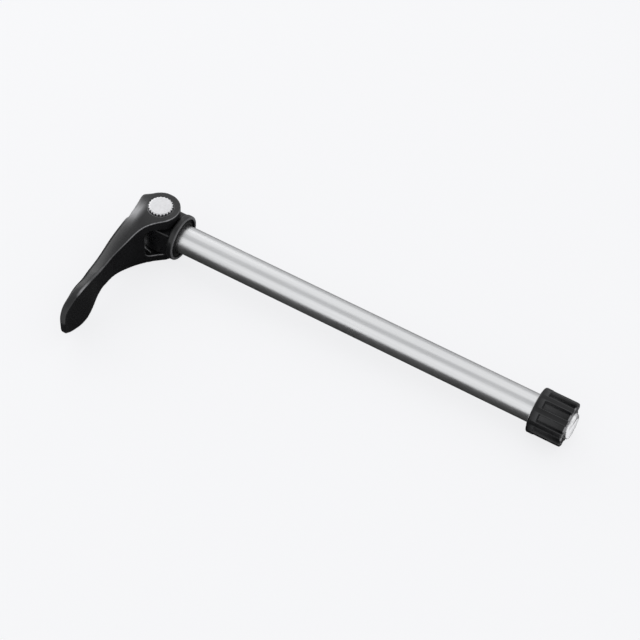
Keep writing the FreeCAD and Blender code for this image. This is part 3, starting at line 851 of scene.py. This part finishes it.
def nut_profile(size):
    """Outline of the nut's section, from its inner lip over the outside and back: (x, radius) points."""
    radius, start, end = NUT_HIGH.z, NUT_LOW.x, NUT_HIGH.x
    flutes, full = start + size.band, start + size.band + size.ramp
    lip, lip_x = 7.7 * MM, start + 0.25 * MM
    pocket, pocket_x = 7.95 * MM, start + 1.2 * MM
    relief, relief_x = 6.3 * MM, start + 2.35 * MM
    bore, mouth, mouth_edge = 5.5625 * MM, 5.8125 * MM, 0.3 * MM
    groove, near_x, far_x = 6.8125 * MM, end - 1 * MM, end - 3 * MM
    face, edge_steps, ramp_rings, face_rings = 8.2 * MM, 7, 8, 4
    profile = [(start, lip)]
    profile += rounded((start, radius), (start, lip), (end, radius), size.edge, edge_steps)
    profile += evenly((flutes, radius), (full, radius), ramp_rings) + [(full, radius)]
    profile += rounded((end, radius), (start, radius), (end, mouth), size.edge, edge_steps)
    profile += evenly((end, face), (end, mouth + mouth_edge), face_rings) + [(end, mouth + mouth_edge)]
    profile += [(end - mouth_edge, mouth), (near_x, mouth), (near_x, groove), (far_x, groove)]
    profile += [(far_x, bore), (relief_x, bore), (relief_x, relief), (pocket_x, relief)]
    return profile + [(pocket_x, pocket), (lip_x, pocket), (lip_x, lip)]


class THRU_AXLE_OT_shaft(bpy.types.Operator):
    """Turn the shaft with its thread and tail, and its slotted tongue"""

    bl_idname = "thru_axle.shaft"
    bl_label = "Shaft"

    def execute(self, context):
        size = context.scene.axle_shaft
        metal = satin_aluminium(size)
        bar = link_mesh("shaft_bar", mesh_from(turned(shaft_profile(size), size.segments), "shaft_bar"))
        grown(bar, thread_tree(), {
            "Pitch": size.thread_pitch, "Depth": size.thread_depth, "Crest": size.thread_radius,
            "Start": size.thread_start, "Full": size.thread_start + size.thread_fade,
            "Fade": size.thread_end - size.thread_fade, "End": size.thread_end, "Material": metal})
        shade(bar.data)
        settle(bar, "axle", "satin_shaft", metal, "axle_shaft")
        eye_x = PIN_X - context.scene.axle_pin.cam_throw
        tongue = link_mesh("shaft_tongue", tongue_mesh(size, eye_x, size.edge - size.setback))
        shade(tongue.data)
        settle(tongue, "axle", "satin_shaft", metal, "axle_shaft")
        return {"FINISHED"}


class THRU_AXLE_OT_housing(bpy.types.Operator):
    """Soften the cam housing's edges and give it its black finish"""

    bl_idname = "thru_axle.housing"
    bl_label = "Cam housing"

    def execute(self, context):
        size = context.scene.axle_lever
        black = black_skin("turned black", size, spots=500.0, depth=0.006 * MM)
        housing = skin_copy("cam_housing", "housing_skin", size.housing_voxel)
        points, edges = read_points(housing.data)
        points = relaxed(points, edges, size.edge_passes)
        write_points(housing.data, points)
        # pale edges and rim: edge wear with painted highlight, and a painted highlight on the rim
        wear_and_highlight = size.housing_wear_and_highlight * edge_wear_and_highlight(housing.data, points, edges, size.housing_voxel)
        keep_wear_and_highlight(housing.data, np.maximum(wear_and_highlight, size.rim_painted_highlight * ramp(points[:, 0], *HOUSING_RIM)))
        shade(housing.data, math.pi)
        settle(housing, "housing", "black_turned", black, "cam_housing")
        polymer = plain_stuff("black polymer", (0.012, 0.012, 0.013), roughness=0.5, spots=1800.0)
        for node in ("upper_cam_bush", "lower_cam_bush"):
            dress(node, polymer)
        rubber = plain_stuff("dust rubber", (0.004, 0.004, 0.004), roughness=0.75, spots=2500.0)
        dress("dust_ring", rubber)
        return {"FINISHED"}


class THRU_AXLE_OT_lever(bpy.types.Operator):
    """Forge the lever: soft edges, a well rounded outboard side and black skin"""

    bl_idname = "thru_axle.lever"
    bl_label = "Cam lever"

    def execute(self, context):
        size = context.scene.axle_lever
        black = black_skin("forged black", size, spots=1100.0, depth=0.02 * MM)
        lever = skin_copy("cam_lever", "lever_forging", size.voxel)
        points, edges = read_points(lever.data)
        points = heeled(crowned(eased(lever.data, points, size), size), size)
        write_points(lever.data, points)
        weight = outboard_weight(lever.data, points, edges)
        points = relaxed(points, edges, size.crown_passes, weight)
        points = relaxed(points, edges, size.cheek_passes, cheek_weight(points))
        points = relaxed(points, edges, size.edge_passes)
        write_points(lever.data, points)
        # edge wear that is also a painted highlight: pale where the ridge would catch the light, only on
        # faces that look up, and stronger or weaker along the lever as the light falls
        wear_and_highlight = edge_wear_and_highlight(lever.data, points, edges, size.voxel)
        wear_and_highlight *= np.interp(-points[:, 1] / MM, list(LEVER_EDGE_WEAR_AND_HIGHLIGHT), list(LEVER_EDGE_WEAR_AND_HIGHLIGHT.values()))
        upward = ramp(read_normals(lever.data)[:, 2], *FACING_UP)
        # the shoulder's painted highlight is joined to the pale edges here
        keep_wear_and_highlight(lever.data, upward * np.maximum(wear_and_highlight, heel_painted_highlight(points)))
        shade(lever.data, math.pi)
        settle(lever, "lever", "black_forging", black, "cam_lever")
        return {"FINISHED"}


class THRU_AXLE_OT_pin(bpy.types.Operator):
    """Turn the cam pin with its serrated head, and finish its washer and clip"""

    bl_idname = "thru_axle.pin"
    bl_label = "Cam pin"

    def execute(self, context):
        size = context.scene.axle_pin
        steel = plated_steel(size)
        head, shoulder = PIN_HIGH.x - PIN_X, PIN_HIGH.z - size.head_height
        blank = turned(pin_profile(size), size.teeth * size.facets)
        pin = link_mesh("pin_turned", mesh_from(blank, "pin_turned"))
        grown(pin, flute_tree(), {
            "Count": float(size.teeth), "Phase": 0.5, "Floor": 0.1, "Edge": 0.4,
            "Depth": size.tooth_depth, "Inner": head - size.tooth_wall, "Outer": head,
            "Start": shoulder - 0.2 * MM, "Full": shoulder - 0.1 * MM, "Material": steel})
        stand(pin.data, PIN_X)
        cam, radius = size.cam_half, size.cam_radius
        lobe = turned([(-cam, 0), (-cam, radius), (cam, radius), (cam, 0)], size.segments)
        add_mesh(pin.data, stand(mesh_from(lobe, "cam"), PIN_X - size.cam_throw))
        foot = turned(foot_profile(size), size.segments)
        add_mesh(pin.data, stand(mesh_from(foot, "foot"), PIN_X))
        shade(pin.data)
        settle(pin, "lever", "bright_steel", steel, "cam_pin")
        for node in ("pin_washer", "pin_clip"):
            dress(node, steel)
        return {"FINISHED"}


class THRU_AXLE_OT_nut(bpy.types.Operator):
    """Turn and flute the nut, and finish its washer and lock ring"""

    bl_idname = "thru_axle.nut"
    bl_label = "Nut"

    def execute(self, context):
        size = context.scene.axle_nut
        black = black_skin(
            "grip black", context.scene.axle_lever, spots=700.0, depth=0.008 * MM, gloss=size.gloss)
        flutes = NUT_LOW.x + size.band
        nut = link_mesh("nut_grip", mesh_from(turned(nut_profile(size), size.segments, True), "nut_grip"))
        grown(nut, flute_tree(), {
            "Count": float(size.flutes), "Phase": 0.0, "Floor": size.flute_floor,
            "Edge": size.flute_edge, "Depth": size.flute_depth, "Inner": size.core,
            "Outer": NUT_HIGH.z, "Start": flutes, "Full": flutes + size.ramp, "Material": black})
        # pale flute lips and corners: wear and painted highlight
        keep_wear_and_highlight(nut.data, nut_wear_and_highlight(read_points(nut.data)[0], size, flutes, NUT_HIGH.x))
        shade(nut.data)
        settle(nut, "nut", "black_turned", black, "axle_nut")
        dress("nut_washer", plated_steel(context.scene.axle_pin))
        nylon = plain_stuff("lock nylon", (0.8, 0.8, 0.77), roughness=0.5, spots=1500.0)
        dress("nut_lock_ring", nylon)
        return {"FINISHED"}


class THRU_AXLE_OT_stage(bpy.types.Operator):
    """Lay the floor, hang the lights and set the camera"""

    bl_idname = "thru_axle.stage"
    bl_label = "Stage"

    def execute(self, context):
        settings = context.scene.axle_stage
        lay_floor(settings)
        lay_card()
        for name, (towards, size, radiance) in LAMPS.items():
            hang_softbox(name, towards, size, getattr(settings, radiance))
        light_sky(settings.sky_strength)
        place_camera()
        context.scene.view_settings.view_transform = "Standard"
        return {"FINISHED"}


def flat_sheet(name, outline, rise):
    """Flat face over an outline in plan, a little above the floor's own plane."""
    bm = bmesh.new()
    bm.faces.new([bm.verts.new((x, y, floor_height(x) + rise)) for x, y in outline])
    return link_mesh(name, mesh_from(bm, name))


def floor_height(x):
    """The floor leans by about a degree, so that the axle lies on its lever and its nut."""
    lean = (NUT_LOW.z - LEVER_LOW.z) / (NUT_HIGH.x - LEVER_HIGH.x)
    gap = 0.05 * MM
    return LEVER_LOW.z - gap + lean * (x - LEVER_HIGH.x)


def lay_floor(settings):
    """Pale floor that glows a little where it is seen, so that it comes out white."""
    floor = flat_sheet("floor", FLOOR_OUTLINE, rise=0.0)
    material, tree, shader = blank_material("pale floor")
    shader.inputs["Roughness"].default_value = 0.9
    shader.inputs["Specular IOR Level"].default_value = 0.1
    mottle = grain(tree, (6.0,) * 3)
    tone = varied(tree, mottle, settings.floor_tone, 0.995, 1.0)
    tree.links.new(tone, shader.inputs["Base Color"])
    glow = add(tree, "ShaderNodeEmission", {"Color": (0.955, 0.957, 0.97, 1.0), "Strength": 1.0})
    ray = add(tree, "ShaderNodeLightPath").outputs
    seen = maths(tree, "ADD", ray["Is Camera Ray"], ray["Is Glossy Ray"])
    seen = maths(tree, "MINIMUM", maths(tree, "ADD", seen, ray["Is Transmission Ray"]), 1.0)
    mix = add(tree, "ShaderNodeMixShader")
    tree.links.new(maths(tree, "MULTIPLY", seen, settings.floor_glow), mix.inputs[0])
    tree.links.new(shader.outputs[0], mix.inputs[1])
    tree.links.new(glow.outputs[0], mix.inputs[2])
    tree.links.new(mix.outputs[0], tree.nodes["Material Output"].inputs["Surface"])
    floor.data.materials.append(material)


def lay_card():
    """Card under the axle, dark in front and grey behind, seen only in the axle's reflections."""
    card = flat_sheet("shade_card", CARD_OUTLINE, rise=0.02 * MM)
    material, tree, shader = blank_material("dark card")
    shader.inputs["Specular IOR Level"].default_value = 0.0
    behind = spread(tree, along(tree, "Y"), 0.0, 1.0, *CARD_FADE)
    tree.links.new(between(tree, behind, CARD_FRONT, CARD_BEHIND), shader.inputs["Base Color"])
    card.data.materials.append(material)
    card.visible_camera = False
    card.visible_diffuse = False
    card.visible_shadow = False
    card.visible_transmission = False


def hang_softbox(name, towards, size, radiance):
    """Area lamp that faces the axle's middle from a direction."""
    lamp = bpy.data.lights.new(name, "AREA")
    lamp.shape = "RECTANGLE"
    lamp.size, lamp.size_y = size
    lamp.energy = radiance * math.pi * size[0] * size[1]
    towards = Vector(towards).normalized()
    holder = bpy.data.objects.new(name, lamp)
    holder.location = LAMP_AIM + towards * LAMP_DISTANCE
    holder.rotation_euler = (-towards).to_track_quat("-Z", "Y").to_euler()
    holder.visible_camera = False
    bpy.context.scene.collection.objects.link(holder)


def light_sky(strength):
    """Even, slightly cool light from all round."""
    world = bpy.data.worlds.new("studio")
    world.use_nodes = True
    background = world.node_tree.nodes["Background"]
    background.inputs["Color"].default_value = (0.98, 0.985, 1.0, 1.0)
    background.inputs["Strength"].default_value = strength
    bpy.context.scene.world = world


def place_camera():
    """Camera at the photograph's angle: direction, roll and lens."""
    rise, swing, roll = (math.radians(angle) for angle in (CAMERA_RISE, CAMERA_SWING, CAMERA_ROLL))
    back = Vector((math.sin(swing) * math.cos(rise), -math.cos(swing) * math.cos(rise), math.sin(rise)))
    level = Vector((math.cos(swing), math.sin(swing), 0.0))
    upright = back.cross(level)
    right = level * math.cos(roll) + upright * math.sin(roll)
    up = upright * math.cos(roll) - level * math.sin(roll)
    place = CAMERA_AIM + back * CAMERA_DISTANCE
    lens = bpy.data.cameras.new("camera")
    lens.sensor_width = 36.0
    lens.lens = CAMERA_LENS
    lens.clip_start = 0.01
    camera = bpy.data.objects.new("camera", lens)
    camera.matrix_world = Matrix((right, up, back)).transposed().to_4x4()
    camera.location = place
    bpy.context.scene.collection.objects.link(camera)
    bpy.context.scene.camera = camera


class THRU_AXLE_PT_panel(bpy.types.Panel):
    """Buttons for the axle's pieces and the stage"""

    bl_idname = "THRU_AXLE_PT_panel"
    bl_label = "Thru axle"
    bl_space_type = "VIEW_3D"
    bl_region_type = "UI"
    bl_category = "Thru axle"

    def draw(self, context):
        for operator in OPERATORS:
            self.layout.operator(operator.bl_idname)


OPERATORS = (
    THRU_AXLE_OT_shaft,
    THRU_AXLE_OT_housing,
    THRU_AXLE_OT_lever,
    THRU_AXLE_OT_pin,
    THRU_AXLE_OT_nut,
    THRU_AXLE_OT_stage,
)
SETTINGS = {
    "axle_shaft": ShaftSettings,
    "axle_lever": LeverSettings,
    "axle_pin": PinSettings,
    "axle_nut": NutSettings,
    "axle_stage": StageSettings,
}


def register():
    for name, group in SETTINGS.items():
        bpy.utils.register_class(group)
        setattr(bpy.types.Scene, name, bpy.props.PointerProperty(type=group))
    for item in OPERATORS + (THRU_AXLE_PT_panel,):
        bpy.utils.register_class(item)


def unregister():
    for item in OPERATORS + (THRU_AXLE_PT_panel,):
        bpy.utils.unregister_class(item)
    for name, group in SETTINGS.items():
        delattr(bpy.types.Scene, name)
        bpy.utils.unregister_class(group)


def main():
    register()
    bpy.ops.thru_axle.shaft()
    bpy.ops.thru_axle.housing()
    bpy.ops.thru_axle.lever()
    bpy.ops.thru_axle.pin()
    bpy.ops.thru_axle.nut()
    bpy.ops.thru_axle.stage()


if __name__ == "__main__":
    main()
